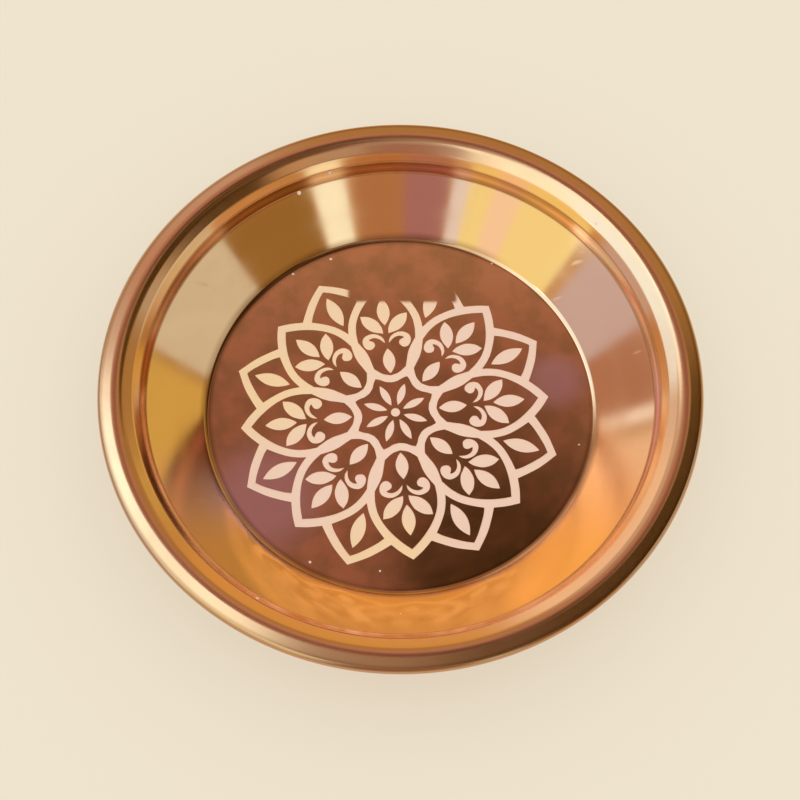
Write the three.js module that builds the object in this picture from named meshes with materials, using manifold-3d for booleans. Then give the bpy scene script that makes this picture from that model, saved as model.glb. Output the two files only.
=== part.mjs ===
// Copper puja plate: one spun sheet with a flat etched floor, a sloping wall,
// a steep riser and a hollow rim, and a wire held in the rim's rolled edge.
// Millimetres, +Z up, origin under the middle of the flat floor.

import * as THREE from 'three';
import { mergeVertices } from 'three/addons/utils/BufferGeometryUtils.js';
import Module from 'manifold-3d';

// Rim: a steep shoulder and a gentler slope up to the rounded crown, then a top
// that falls a little to the curl
const RIM_RADIUS = 100;
const SHOULDER_RUN = 2.2;
const SHOULDER_RISE = 2.5;
const SHOULDER_BEND = 3;
const SLOPE_RUN = 4.4;
const SLOPE_RISE = 3.0;
const CROWN_RUN = 6.8;
const CROWN_BEND = 6.8;
const CROWN_FALL = THREE.MathUtils.degToRad(6.5);

// Riser, the nearly upright step between wall and rim
const RISER_RUN = 1.0;
const RISER_RISE = 5.0;
const RISER_BEND = 1.0;

// Wall, the cone between the floor and the riser
const WALL_RUN = 18.2;
const WALL_RISE = 17.1;
const WALL_BEND = 1.0;
const FLOOR_BEND = 2.9;

// Copper sheet
const SHEET = 0.7;

// Wire and the curl of sheet that holds it
const WIRE_DIAMETER = 1.5;
const WIRE_PLAY = 0.15;
const CURL_WRAP = THREE.MathUtils.degToRad(180);

// Etched ornament on the floor
const ORNAMENT_MARGIN = 8.8;
const ORNAMENT_SHIFT_X = -1.7;
const ORNAMENT_SHIFT_Y = -2.3;
const ORNAMENT_TURN = THREE.MathUtils.degToRad(6.8);
const PETALS = 8;
const DOT_RADIUS = 1.6;
const ETCH_DEPTH = 0.15;

// Facets
const TURN_FACETS = 72;
const FLOOR_BEND_FACETS = 3;
const RIM_BEND_FACETS = 2;
const CROWN_FACETS = 6;
const EDGE_FACETS = 3;
const CURL_FACETS = 4;
const WIRE_FACETS = 10;
const LEAF_FACETS = 4;
const DOT_FACETS = 14;
const SAME_POINT = 1e-4;

// Places that follow from the sizes
const WIRE_RADIUS = WIRE_DIAMETER / 2;
const CURL_RADIUS = WIRE_RADIUS + WIRE_PLAY + SHEET;
const CURL_MIDDLE_RADIUS = RIM_RADIUS - CURL_RADIUS;
const CROWN_RADIUS = RIM_RADIUS - CROWN_RUN;
const WALL_TOP_RADIUS = CROWN_RADIUS - SLOPE_RUN - SHOULDER_RUN - RISER_RUN;
const FLOOR_RADIUS = WALL_TOP_RADIUS - WALL_RUN;
const CROWN_LEVEL = SHEET + WALL_RISE + RISER_RISE + SHOULDER_RISE + SLOPE_RISE;
const WALL_SLOPE = Math.atan2(WALL_RISE, WALL_RUN);
const FLAT_RADIUS = FLOOR_RADIUS - FLOOR_BEND * Math.tan(WALL_SLOPE / 2);
const ORNAMENT_REACH = FLAT_RADIUS - ORNAMENT_MARGIN;
const ORNAMENT_MIDDLE = new THREE.Vector2(ORNAMENT_SHIFT_X, ORNAMENT_SHIFT_Y);

// The curl's level: its circle touches the rim's top as that falls from the crown
const CROWN_TO_CURL = CURL_MIDDLE_RADIUS - CROWN_RADIUS;
const CURL_DROP = (CURL_RADIUS + CROWN_TO_CURL * Math.sin(CROWN_FALL)) / Math.cos(CROWN_FALL);
const CURL_LEVEL = CROWN_LEVEL - CURL_DROP;

const copper = new THREE.MeshStandardMaterial({ color: 0xa9683f, roughness: 0.28, metalness: 1 });
const wireMetal = new THREE.MeshStandardMaterial({ color: 0x9a9a98, roughness: 0.5, metalness: 1 });

const wasm = await Module();
wasm.setup();

function toSolid(geometry) {
  const bare = geometry.clone();
  bare.deleteAttribute('normal');
  bare.deleteAttribute('uv');
  const merged = mergeVertices(bare, SAME_POINT);
  const corners = merged.index.array;
  const kept = [];
  for (let i = 0; i < corners.length; i += 3) {
    const [a, b, c] = [corners[i], corners[i + 1], corners[i + 2]];
    if (a !== b && b !== c && c !== a) kept.push(a, b, c);
  }
  return new wasm.Manifold(new wasm.Mesh({
    numProp: 3,
    vertProperties: Float32Array.from(merged.attributes.position.array),
    triVerts: Uint32Array.from(kept),
  }));
}

function toGeometry(solid) {
  const mesh = solid.getMesh();
  const geometry = new THREE.BufferGeometry();
  geometry.setAttribute('position', new THREE.BufferAttribute(mesh.vertProperties, 3));
  geometry.setIndex(new THREE.BufferAttribute(mesh.triVerts, 1));
  geometry.computeVertexNormals();
  return geometry;
}

// Steps along a circle. Each step holds a point on the side of the sheet that
// shows and the direction in which that side faces.
function circleSteps(centre, radius, from, to, facets, facing) {
  const steps = [];
  for (let i = 0; i <= facets; i += 1) {
    const angle = from + (to - from) * (i / facets);
    const away = new THREE.Vector2(Math.cos(angle), Math.sin(angle));
    steps.push({
      point: centre.clone().addScaledVector(away, radius),
      normal: away.multiplyScalar(facing),
    });
  }
  return steps;
}

// The round bend at a corner where the sheet's slope changes. Its centre lies
// over the sheet where the slope grows, and under it where the slope falls off.
function cornerBend(corner, slope, nextSlope, radius, facets) {
  const side = Math.sign(nextSlope - slope);
  const setback = radius * Math.tan(Math.abs(nextSlope - slope) / 2);
  const centre = corner.clone()
    .addScaledVector(new THREE.Vector2(Math.cos(slope), Math.sin(slope)), -setback)
    .addScaledVector(new THREE.Vector2(-Math.sin(slope), Math.cos(slope)), side * radius);
  const quarter = (side * Math.PI) / 2;
  return circleSteps(centre, radius, slope - quarter, nextSlope - quarter, facets, -side);
}

// The straight parts of the section one after another, from the floor's edge
// to the crown, each with the bend that leads into it.
const PARTS = [
  { run: WALL_RUN, rise: WALL_RISE, bend: FLOOR_BEND, facets: FLOOR_BEND_FACETS },
  { run: RISER_RUN, rise: RISER_RISE, bend: WALL_BEND, facets: RIM_BEND_FACETS },
  { run: SHOULDER_RUN, rise: SHOULDER_RISE, bend: RISER_BEND, facets: RIM_BEND_FACETS },
  { run: SLOPE_RUN, rise: SLOPE_RISE, bend: SHOULDER_BEND, facets: RIM_BEND_FACETS },
];

function floorToCrown() {
  const corner = new THREE.Vector2(FLOOR_RADIUS, SHEET);
  const steps = [];
  let slope = 0;
  for (const { run, rise, bend, facets } of PARTS) {
    const nextSlope = Math.atan2(rise, run);
    steps.push(...cornerBend(corner, slope, nextSlope, bend, facets));
    corner.add(new THREE.Vector2(run, rise));
    slope = nextSlope;
  }
  return [...steps, ...cornerBend(corner, slope, -CROWN_FALL, CROWN_BEND, CROWN_FACETS)];
}

// The edge of the sheet, rolled over the plate's outer edge and on round the
// wire.
function rimCurl() {
  const centre = new THREE.Vector2(CURL_MIDDLE_RADIUS, CURL_LEVEL);
  const top = Math.PI / 2 - CROWN_FALL;
  const under = circleSteps(centre, CURL_RADIUS, 0, -CURL_WRAP, CURL_FACETS, 1);
  return [...circleSteps(centre, CURL_RADIUS, top, 0, EDGE_FACETS, 1), ...under.slice(1)];
}

// The sheet's section: out along the side that shows, back along the other.
function sheetGeometry() {
  const steps = [
    { point: new THREE.Vector2(0, SHEET), normal: new THREE.Vector2(0, 1) },
    ...floorToCrown(),
    ...rimCurl(),
  ];
  const shown = steps.map((step) => step.point);
  const back = steps.map((step) => step.point.clone().addScaledVector(step.normal, -SHEET));
  const section = [...shown, ...back.reverse()].reverse();
  return new THREE.LatheGeometry(section, TURN_FACETS).rotateX(Math.PI / 2);
}

// Ornament. Its points are hundredths of the reach of the outer petals' tips,
// x across a petal's axis and y along it, for one side only.
const HALF_PITCH = Math.PI / PETALS;
const betweenPetals = (reach) => [reach * Math.sin(HALF_PITCH), reach * Math.cos(HALF_PITCH)];

const PETAL = [
  [[0, 25.0], [4.9, 26.5], [9.7, 30.2]],
  [[9.7, 30.2], [10.8, 34.2], [11.9, 38.6], [13.5, 42.5], [15.4, 45.7], [17.8, 49.4]],
  [[17.8, 49.4], [18.3, 56.1], [17.5, 63.1], [14.9, 69.9], [10.8, 76.3], [5.5, 82.4], [0, 87.3]],
];
const OUTER_PETAL = [
  [[0, 60.7], [2.5, 65.4], [5.8, 69.9], [10.6, 74.5], [16.0, 78.8]],
  [[16.0, 78.8], [13.5, 82.3], [8.9, 87.1], [4.0, 91.6], [0, 94.5]],
];
const TIP_BAND = 5.5;
const TIP_REACH = lastPoint(OUTER_PETAL).y + TIP_BAND;
const BORDER = [
  [[0, 93.6], [6.1, 88.9], [11.8, 83.3]],
  [[11.8, 83.3], [18.5, 86.5], [26.7, 89.7], betweenPetals(TIP_REACH)],
];
const ROSETTE_REACH = 25.35;
const ROSETTE = [
  [[0, 20.2], [3.6, 20.9], [6.9, 22.5], betweenPetals(ROSETTE_REACH)],
];
const SIDE_LEAF = [
  [[1.6, 54.0], [2.1, 58.2], [4.8, 63.3], [9.7, 66.6], [14.7, 67.3]],
  [[14.7, 67.3], [13.9, 62.6], [11.5, 58.6], [7.6, 55.7], [1.6, 54.0]],
];
const SCROLL = [
  [[1.2, 47.1], [1.7, 50.0], [3.4, 52.4], [6.1, 54.0], [8.9, 54.5], [11.7, 53.8], [14.0, 52.2],
    [15.0, 49.7], [14.7, 47.0], [13.5, 44.9], [12.0, 43.8], [10.0, 43.7], [8.3, 45.0],
    [7.5, 46.6], [8.2, 48.7], [11.0, 50.2]],
  [[11.0, 50.2], [9.4, 51.3], [7.0, 51.5], [4.4, 50.4], [2.5, 48.6], [1.2, 47.1]],
];
// Leaves: foot and tip along the axis, and how far each bows out to a side.
const CENTRE_LEAF = [59.7, 78.9, 4.0];
const INNER_LEAF = [26.4, 43.6, 3.8];
const OUTER_LEAF = [67.1, 89.5, 4.1];
const ROSETTE_LEAF = [5.1, 20.0, 2.3];

// The points of curves drawn one after another, each through its own points.
function alongCurves(curves, facetsPerPoint = 1) {
  const points = [];
  for (const curve of curves) {
    const through = curve.map(([x, y]) => new THREE.Vector2(x, y));
    const spline = new THREE.SplineCurve(through);
    points.push(...spline.getPoints((through.length - 1) * facetsPerPoint).slice(0, -1));
  }
  return points;
}

function lastPoint(curves) {
  const [x, y] = curves.at(-1).at(-1);
  return new THREE.Vector2(x, y);
}

// A closed outline from one side and its mirror image across the axis.
function mirrored(curves) {
  const side = [...alongCurves(curves), lastPoint(curves)];
  const other = side.slice(1, -1).reverse().map((point) => new THREE.Vector2(-point.x, point.y));
  return [...side, ...other];
}

function flipped(points) {
  return points.map((point) => new THREE.Vector2(-point.x, point.y)).reverse();
}

// A leaf along the axis: pointed at both ends and bowed in between.
function leaf([foot, tip, bow]) {
  const side = [];
  for (let i = 0; i <= LEAF_FACETS; i += 1) {
    const t = i / LEAF_FACETS;
    side.push(new THREE.Vector2(4 * bow * t * (1 - t), foot + (tip - foot) * t));
  }
  const other = side.slice(1, -1).reverse().map((point) => new THREE.Vector2(-point.x, point.y));
  return [...side, ...other];
}

// A petal's half outline goes from axis to axis, so its mirrored copies,
// turned by one pitch each, make a ring.
function ring(curves) {
  const side = [...alongCurves(curves), lastPoint(curves)];
  const pair = [...flipped(side).slice(0, -1), ...side.slice(0, -1)];
  const points = [];
  for (let k = 0; k < PETALS; k += 1) points.push(...turned(pair, k));
  return points;
}

function turned(points, pitches) {
  const angle = -pitches * 2 * HALF_PITCH;
  return points.map((point) => point.clone().rotateAround(new THREE.Vector2(), angle));
}

// The dot in the middle of the rosette, at its real size.
function dot() {
  const points = [];
  for (let i = 0; i < DOT_FACETS; i += 1) {
    const angle = (2 * Math.PI * i) / DOT_FACETS;
    points.push(new THREE.Vector2(DOT_RADIUS, 0).rotateAround(new THREE.Vector2(), angle)
      .add(ORNAMENT_MIDDLE));
  }
  return points;
}

// Everything that is etched: one lacework of petal outlines, and the leaves,
// scrolls, rosette and dot that stand free inside its openings.
function ornamentShapes() {
  const scale = ORNAMENT_REACH / TIP_REACH;
  const placed = (points) => points.map((point) => point.clone()
    .multiplyScalar(scale)
    .rotateAround(new THREE.Vector2(), ORNAMENT_TURN)
    .add(ORNAMENT_MIDDLE));
  const lacework = new THREE.Shape(placed(ring(BORDER)).reverse());
  lacework.holes.push(new THREE.Path(placed(ring(ROSETTE))));
  const free = [];
  for (let k = 0; k < PETALS; k += 1) {
    lacework.holes.push(new THREE.Path(placed(turned(mirrored(PETAL), k))));
    lacework.holes.push(new THREE.Path(placed(turned(mirrored(OUTER_PETAL), k + 0.5))));
    const sideLeaf = alongCurves(SIDE_LEAF);
    const scroll = alongCurves(SCROLL);
    for (const outline of [sideLeaf, flipped(sideLeaf), scroll, flipped(scroll), leaf(CENTRE_LEAF),
      leaf(INNER_LEAF)]) {
      free.push(turned(outline, k));
    }
    free.push(turned(leaf(OUTER_LEAF), k + 0.5), turned(leaf(ROSETTE_LEAF), k + 0.5));
  }
  return [lacework, new THREE.Shape(dot()), ...free.map((points) => new THREE.Shape(placed(points)))];
}

// The etching bath's cut: as deep as the etch, and clear above the floor.
function etchCut() {
  const geometry = new THREE.ExtrudeGeometry(ornamentShapes(), {
    depth: ETCH_DEPTH + SHEET,
    steps: 1,
    bevelEnabled: false,
  });
  return toSolid(geometry.translate(0, 0, SHEET - ETCH_DEPTH));
}

function makeDish() {
  const sheet = toSolid(sheetGeometry());
  const mesh = new THREE.Mesh(toGeometry(sheet.subtract(etchCut())), copper);
  mesh.name = 'dish';
  return mesh;
}

function makeRimWire() {
  const geometry = new THREE.TorusGeometry(
    CURL_MIDDLE_RADIUS,
    WIRE_RADIUS,
    WIRE_FACETS,
    TURN_FACETS,
  );
  const mesh = new THREE.Mesh(geometry, wireMetal);
  mesh.name = 'rim_wire';
  mesh.position.z = CURL_LEVEL;
  return mesh;
}

const plate = new THREE.Group();
plate.add(makeDish(), makeRimWire());

export default plate;
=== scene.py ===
"""Copper puja plate: the fine surface, the finishes and the studio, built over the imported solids."""

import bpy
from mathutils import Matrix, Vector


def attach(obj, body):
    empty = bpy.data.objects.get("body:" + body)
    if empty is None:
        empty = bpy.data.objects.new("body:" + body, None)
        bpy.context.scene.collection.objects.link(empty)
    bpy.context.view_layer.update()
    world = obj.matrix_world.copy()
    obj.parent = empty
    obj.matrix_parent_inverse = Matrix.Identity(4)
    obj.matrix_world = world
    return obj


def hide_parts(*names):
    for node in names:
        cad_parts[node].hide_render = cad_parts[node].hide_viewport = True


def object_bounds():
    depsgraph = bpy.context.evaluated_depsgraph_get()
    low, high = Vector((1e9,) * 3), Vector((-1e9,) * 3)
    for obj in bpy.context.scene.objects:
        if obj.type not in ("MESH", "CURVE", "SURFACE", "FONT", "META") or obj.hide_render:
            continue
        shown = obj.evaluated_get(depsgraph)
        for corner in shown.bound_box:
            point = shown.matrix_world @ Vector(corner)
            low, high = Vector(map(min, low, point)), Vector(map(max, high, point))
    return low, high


bl_info = {
    "name": "Copper Puja Plate",
    "version": (1, 0, 0),
    "blender": (4, 5, 0),
    "location": "3D View > Sidebar > Puja Plate",
    "description": "Spun copper offering plate with an etched lotus floor, and its studio",
    "category": "Add Mesh",
}

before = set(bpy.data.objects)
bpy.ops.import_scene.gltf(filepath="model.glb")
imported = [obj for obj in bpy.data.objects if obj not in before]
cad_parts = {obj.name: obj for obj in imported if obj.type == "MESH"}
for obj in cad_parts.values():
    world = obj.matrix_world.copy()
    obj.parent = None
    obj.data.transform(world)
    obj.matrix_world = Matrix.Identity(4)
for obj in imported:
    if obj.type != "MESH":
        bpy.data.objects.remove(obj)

import math

import bpy
import numpy as np
from mathutils import Matrix, Vector
from mathutils.geometry import delaunay_2d_cdt

CAD_LOW, CAD_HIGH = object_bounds()
MM = 0.001
UP = np.array([0.0, 0.0, 1.0])

# Counts of faces on the fine surface
TURN_STEPS = 480
FLOOR_BEND_STEPS = 10
CORNER_STEPS = 6
CROWN_STEPS = 12
CURL_STEPS = 22
WALL_STEPS = 6
STRAIGHT_STEPS = 4
BACK_STEPS = 8
WIRE_STEPS = 24
CURVE_STEPS = 5
LEAF_STEPS = 16
DOT_STEPS = 40

# Radius of the fan of faces in the middle of the underside
BACK_CENTRE = 8 * MM

# Rings of points inside the flat floor's edge: how far inside, and every how many points of the edge
FLOOR_RINGS = ((1.2 * MM, 2), (4 * MM, 4))

# Points of the floor closer than this, in millimetres, are one
SAME_PLACE = 1e-5

# The ornament's measures are hundredths of the reach of the outer petals' tips
PETALS = 8
HALF_PITCH = math.pi / PETALS
TIP_REACH = 100
ROSETTE_REACH = 25.35


def between_petals(reach):
    """The point at a reach from the middle, half a pitch from a petal's axis."""
    return (reach * math.sin(HALF_PITCH), reach * math.cos(HALF_PITCH))


# Outlines of the ornament: x across a petal's axis and y along it, for one side only
BORDER = [
    [(0, 93.6), (6.1, 88.9), (11.8, 83.3)],
    [(11.8, 83.3), (18.5, 86.5), (26.7, 89.7), between_petals(TIP_REACH)],
]
ROSETTE = [[(0, 20.2), (3.6, 20.9), (6.9, 22.5), between_petals(ROSETTE_REACH)]]
PETAL = [
    [(0, 25.0), (4.9, 26.5), (9.7, 30.2)],
    [(9.7, 30.2), (10.8, 34.2), (11.9, 38.6), (13.5, 42.5), (15.4, 45.7), (17.8, 49.4)],
    [(17.8, 49.4), (18.3, 56.1), (17.5, 63.1), (14.9, 69.9), (10.8, 76.3), (5.5, 82.4), (0, 87.3)],
]
OUTER_PETAL = [
    [(0, 60.7), (2.5, 65.4), (5.8, 69.9), (10.6, 74.5), (16.0, 78.8)],
    [(16.0, 78.8), (13.5, 82.3), (8.9, 87.1), (4.0, 91.6), (0, 94.5)],
]
SIDE_LEAF = [
    [(1.6, 54.0), (2.1, 58.2), (4.8, 63.3), (9.7, 66.6), (14.7, 67.3)],
    [(14.7, 67.3), (13.9, 62.6), (11.5, 58.6), (7.6, 55.7), (1.6, 54.0)],
]
SCROLL = [
    [
        (1.2, 47.1), (1.7, 50.0), (3.4, 52.4), (6.1, 54.0), (8.9, 54.5), (11.7, 53.8),
        (14.0, 52.2), (15.0, 49.7), (14.7, 47.0), (13.5, 44.9), (12.0, 43.8), (10.0, 43.7),
        (8.3, 45.0), (7.5, 46.6), (8.2, 48.7), (11.0, 50.2),
    ],
    [(11.0, 50.2), (9.4, 51.3), (7.0, 51.5), (4.4, 50.4), (2.5, 48.6), (1.2, 47.1)],
]

# Leaves: foot and tip along the axis, and how far each bows out to a side
CENTRE_LEAF = (59.7, 78.9, 4.0)
INNER_LEAF = (26.4, 43.6, 3.8)
OUTER_LEAF = (67.1, 89.5, 4.1)
ROSETTE_LEAF = (5.1, 20.0, 2.3)

# The worn patch, where rubbing has all but polished the etch away
WORN_MIDDLE_X = 0.4 * MM
WORN_HALF_WIDTH = 19.6 * MM
WORN_LOW_Y = 41.4 * MM
WORN_EDGE = 2.4 * MM
WORN_DEPTH = 0.03


def angle_property(name, description, degrees):
    return bpy.props.FloatProperty(
        name=name, description=description, default=math.radians(degrees), subtype="ANGLE",
        unit="ROTATION",
    )


class PlateSizes(bpy.types.PropertyGroup):
    """Sizes of the plate."""

    def size(name, description, value):
        return bpy.props.FloatProperty(
            name=name, description=description, default=value, min=0, unit="LENGTH", precision=5
        )

    rim_radius: size("Rim radius", "Outermost radius of the rolled rim", CAD_HIGH.x)
    shoulder_run: size("Shoulder run", "Run of the rim's steep inner shoulder", 2.2 * MM)
    shoulder_rise: size("Shoulder rise", "Rise of the rim's steep inner shoulder", 2.5 * MM)
    shoulder_bend: size("Shoulder bend", "Radius of the bend over the shoulder", 3.0 * MM)
    slope_run: size("Slope run", "Run of the rim's slope up to the crown", 4.4 * MM)
    slope_rise: size("Slope rise", "Rise of the rim's slope up to the crown", 3.0 * MM)
    crown_run: size("Crown run", "From the crown out to the edge", 6.8 * MM)
    crown_bend: size("Crown bend", "Radius of the bend at the crown", 6.8 * MM)
    crown_fall: angle_property(
        "Crown fall", "Slope at which the rim's top falls from the crown to the curl", 6.5
    )
    riser_run: size("Riser run", "Run of the nearly upright step below the rim", 1.0 * MM)
    riser_rise: size("Riser rise", "Rise of the nearly upright step below the rim", 5.0 * MM)
    riser_bend: size("Riser bend", "Radius of the bend over the riser", 1.0 * MM)
    wall_run: size("Wall run", "Run of the sloping wall", 18.2 * MM)
    wall_rise: size("Wall rise", "Rise of the sloping wall", 17.1 * MM)
    wall_bend: size("Wall bend", "Radius of the bend between wall and riser", 1.0 * MM)
    floor_bend: size("Floor bend", "Radius of the bend between floor and wall", 2.9 * MM)
    sheet: size("Sheet", "Thickness of the copper sheet", 0.7 * MM)
    wire_diameter: size("Wire", "Diameter of the wire in the rim", 1.5 * MM)
    wire_play: size("Wire play", "Room between the wire and the curl round it", 0.15 * MM)
    ornament_margin: size("Ornament margin", "Plain band round the ornament", 8.8 * MM)
    dot_radius: size("Dot radius", "Radius of the dot in the rosette", 1.6 * MM)
    etch_depth: size("Etch depth", "Depth of the etched ornament", 0.15 * MM)
    ornament_shift: bpy.props.FloatVectorProperty(
        name="Ornament shift",
        description="How far the ornament's middle lies off the plate's axis",
        size=2,
        default=(-1.7 * MM, -2.3 * MM),
        unit="LENGTH",
    )
    ornament_turn: angle_property("Ornament turn", "Turn of the ornament about its middle", 6.8)
    curl_wrap: angle_property(
        "Curl wrap", "How far the sheet is rolled on round the wire from its outermost point", 180
    )


class PlateFinish(bpy.types.PropertyGroup):
    """Colours and finish of the metal."""

    def colour(name, description, value):
        return bpy.props.FloatVectorProperty(
            name=name, description=description, default=value, size=3, min=0, max=1, subtype="COLOR"
        )

    def share(name, description, value):
        return bpy.props.FloatProperty(
            name=name, description=description, default=value, min=0, max=1, subtype="FACTOR"
        )

    copper: colour("Copper", "Polished copper", (0.955, 0.60, 0.42))
    tarnish: colour("Tarnish", "Copper dulled by handling", (0.72, 0.40, 0.27))
    # Painted reflection: the rim's outer flank is darkened so that it shows a dark surround instead of the
    # pale floor
    flank: colour("Flank", "Copper of the rim's outer flank, darkened as a painted dark reflection", (0.50, 0.28, 0.16))
    # Painted reflection: a more orange band on the rim's shoulder, for the orange wall that shows in it
    painted_shoulder_reflection: colour("Shoulder reflection band", "Copper of the band above the riser, orange as a painted reflection", (0.93, 0.47, 0.22))
    # Painted shade: a dark colour laid along the creases of the sheet
    crease_shade: colour("Crease shade", "Shade painted into the creases", (0.30, 0.14, 0.06))
    # Painted reflection: the wall's near side is made more orange, for the orange copper that it reflects
    painted_wall_reflection: colour("Satin", "Orange painted on the wall's near side for the copper it reflects", (1.0, 0.45, 0.09))
    # Violet patches on the floor, at listed spots
    violet: colour("Violet patches", "Violet tint on parts of the floor", (1.0, 0.78, 1.0))
    olive: colour("Olive tint", "Olive mottling of the floor", (0.66, 0.47, 0.29))
    etched: colour("Etched copper", "Frosted copper of the ornament", (0.96, 0.69, 0.53))
    warm_etch: colour("Warm etch", "Warmer patches of the etched ornament", (1.0, 0.72, 0.40))
    dust: colour("Dust", "Specks of pale dust", (0.86, 0.72, 0.62))
    steel: colour("Steel", "Drawn steel wire", (0.60, 0.60, 0.59))
    polish_roughness: share("Polish roughness", "Roughness of the polished sheet", 0.07)
    rim_roughness: share("Rim roughness", "Roughness of the rim", 0.14)
    etch_roughness: share("Etch roughness", "Roughness of the etched ornament", 0.55)
    back_roughness: share("Back roughness", "Roughness of the sheet's underside", 0.3)


class PlateStage(bpy.types.PropertyGroup):
    """Floor, surroundings and camera."""

    floor_colour: bpy.props.FloatVectorProperty(
        name="Floor",
        description="Pale floor under the plate",
        default=(0.863, 0.776, 0.617),
        size=3,
        min=0,
        max=1,
        subtype="COLOR",
    )
    floor_radius: bpy.props.FloatProperty(
        name="Floor radius", description="Reach of the studio floor", default=8.0, unit="LENGTH"
    )
    lens: bpy.props.FloatProperty(
        name="Lens", description="Focal length in millimetres", default=61.61, min=1
    )
    distance: bpy.props.FloatProperty(
        name="Camera distance", description="From the aim to the camera", default=0.45, unit="LENGTH"
    )
    elevation: angle_property("Camera elevation", "Height of the view above the horizon", 65.38)
    roll: angle_property("Camera roll", "Turn of the camera about its own axis", 0.37)
    aim: bpy.props.FloatVectorProperty(
        name="Aim",
        description="Point that the camera looks at",
        default=(-0.00016, -0.00913, 0.0259),
        size=3,
        subtype="XYZ",
        unit="LENGTH",
    )


# The sheet's section


def circle(steps):
    """Points (cos a, sin a) for even steps of a, once round."""
    a = np.arange(steps) * (2 * math.pi / steps)
    return np.stack([np.cos(a), np.sin(a)], 1)


def bend(centre, radius, start, end, steps, facing):
    """Points on a circle's arc, centre + radius (cos a, sin a), and the normals facing (cos a, sin a)."""
    a = np.linspace(start, end, steps + 1)
    away = np.stack([np.cos(a), np.sin(a)], 1)
    return centre + radius * away, facing * away


def straight(start, end, steps, normal):
    """Points evenly along a line, all with one normal."""
    t = np.linspace(0, 1, steps + 1)[:, None]
    return start + (np.asarray(end) - start) * t, np.tile(normal, (steps + 1, 1))


def slope_normal(slope):
    """The direction square to a slope, on the side that shows."""
    return np.array([-math.sin(slope), math.cos(slope)])


def places(sizes):
    """Radii and levels that follow from the sizes."""
    curl = sizes.wire_diameter / 2 + sizes.wire_play + sizes.sheet
    middle = sizes.rim_radius - curl
    crown = sizes.rim_radius - sizes.crown_run
    rim = crown - sizes.slope_run - sizes.shoulder_run
    wall_top = rim - sizes.riser_run
    floor = wall_top - sizes.wall_run
    rises = sizes.wall_rise + sizes.riser_rise + sizes.shoulder_rise + sizes.slope_rise
    fall = sizes.crown_fall
    drop = (curl + (middle - crown) * math.sin(fall)) / math.cos(fall)
    return {
        "curl": curl,
        "curl_middle": np.array([middle, sizes.sheet + rises - drop]),
        "rim": rim,
        "wall_top": wall_top,
        "floor": floor,
        "flat": floor - sizes.floor_bend * math.tan(math.atan2(sizes.wall_rise, sizes.wall_run) / 2),
    }


def corner_bend(corner, slope, next_slope, radius, steps):
    """The arc at a corner: its centre lies over the sheet where the slope grows, else under it."""
    side = math.copysign(1, next_slope - slope)
    setback = radius * math.tan(abs(next_slope - slope) / 2)
    forward = np.array([math.cos(slope), math.sin(slope)])
    centre = corner - setback * forward + side * radius * slope_normal(slope)
    quarter = side * math.pi / 2
    return bend(centre, radius, slope - quarter, next_slope - quarter, steps, -side)


def sheet_bends(sizes):
    """The arcs of the side that shows, from the floor's bend to the curl, as points and normals.

    Between two arcs the sheet is straight. The last straight part falls from the crown.
    """
    place = places(sizes)
    fall = sizes.crown_fall
    parts = [
        (sizes.wall_run, sizes.wall_rise, sizes.floor_bend, FLOOR_BEND_STEPS),
        (sizes.riser_run, sizes.riser_rise, sizes.wall_bend, CORNER_STEPS),
        (sizes.shoulder_run, sizes.shoulder_rise, sizes.riser_bend, CORNER_STEPS),
        (sizes.slope_run, sizes.slope_rise, sizes.shoulder_bend, CORNER_STEPS),
        (math.cos(fall), -math.sin(fall), sizes.crown_bend, CROWN_STEPS),
    ]
    corner, slope, bends = np.array([place["floor"], sizes.sheet]), 0.0, []
    for run, rise, radius, steps in parts:
        next_slope = math.atan2(rise, run)
        bends.append(corner_bend(corner, slope, next_slope, radius, steps))
        corner, slope = corner + (run, rise), next_slope
    top = math.pi / 2 - fall
    return bends + [bend(place["curl_middle"], place["curl"], top, -sizes.curl_wrap, CURL_STEPS, 1)]


def sheet_runs(sizes):
    """The sheet's section from the flat floor's edge, over the rim, round the curl and back below.

    Each run is (points, normals). The side that shows is a chain of arcs and lines; the other
    side is the same chain moved by the sheet's thickness against its normals.
    """
    bends = sheet_bends(sizes)
    shown = bends[:1]
    steps = [WALL_STEPS] + [STRAIGHT_STEPS] * (len(bends) - 2)
    for count, before, after in zip(steps, bends[:-1], bends[1:]):
        shown += [straight(before[0][-1], after[0][0], count, before[1][-1]), after]
    back = [(points[::-1] - sizes.sheet * n[::-1], -n[::-1]) for points, n in shown[::-1]]
    edge_normal = np.array([-math.sin(sizes.curl_wrap), -math.cos(sizes.curl_wrap)])
    edge = straight(shown[-1][0][-1], back[0][0][0], 1, edge_normal)
    underside = straight(back[-1][0][-1], (BACK_CENTRE, 0.0), BACK_STEPS, (0.0, -1.0))
    return shown, [edge, *back, underside]


def lathe(runs, first):
    """A section turned round Z: point (r, z) goes to (r cos a, r sin a, z), for even steps of a.

    Returns vertices, quads and the quads' corner normals. Vertex numbers start at first.
    """
    points = np.concatenate([runs[0][0][:1]] + [run[0][1:] for run in runs])
    start_normals = np.concatenate([run[1][:-1] for run in runs])
    end_normals = np.concatenate([run[1][1:] for run in runs])
    cos, sin = circle(TURN_STEPS).T

    def carried_round(pairs):
        r, z = pairs[:, :1], pairs[:, 1:]
        return np.stack([r * cos, r * sin, np.repeat(z, TURN_STEPS, 1)], 2)

    row = np.arange(len(points) - 1)[:, None] * TURN_STEPS
    step = np.arange(TURN_STEPS)[None, :]
    next_step = (step + 1) % TURN_STEPS
    next_row = row + TURN_STEPS
    quads = np.stack([row + step, next_row + step, next_row + next_step, row + next_step], -1)
    starts, ends = carried_round(start_normals), carried_round(end_normals)
    normals = np.stack([starts, ends, np.roll(ends, -1, 1), np.roll(starts, -1, 1)], 2)
    vertices = carried_round(points).reshape(-1, 3)
    return vertices, quads.reshape(-1, 4) + first, normals.reshape(-1, 4, 3)


# The ornament


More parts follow.
